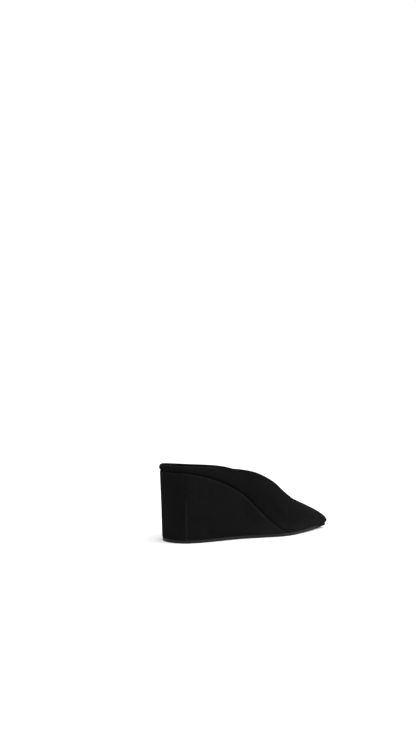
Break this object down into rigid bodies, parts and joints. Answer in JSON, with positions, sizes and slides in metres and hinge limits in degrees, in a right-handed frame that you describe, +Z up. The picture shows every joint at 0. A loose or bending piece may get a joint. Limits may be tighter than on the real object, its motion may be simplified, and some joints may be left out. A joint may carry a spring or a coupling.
{
  "type": "mule shoe",
  "caption": "Women's pointed wedge mule for the right foot: backless suede upper with a deep V throat, covered wedge heel and thin flat sole.",
  "frame": {"origin": "on the floor under the middle of the shoe's box", "axes": "+X from heel to toe, +Y to the inner side of the foot, +Z up"},
  "size_m": [0.2384, 0.077, 0.0906],
  "materials": {
    "suede": "black suede, fine short nap, no gloss",
    "lining": "smooth black lining leather, satin",
    "sole_black": "black sole sheet, satin edge and fine grained underside"
  },
  "bodies": {
    "root": {"outsole": "sole_black", "wedge": "suede", "upper": "suede", "footbed": "lining"}
  },
  "joints": []
}
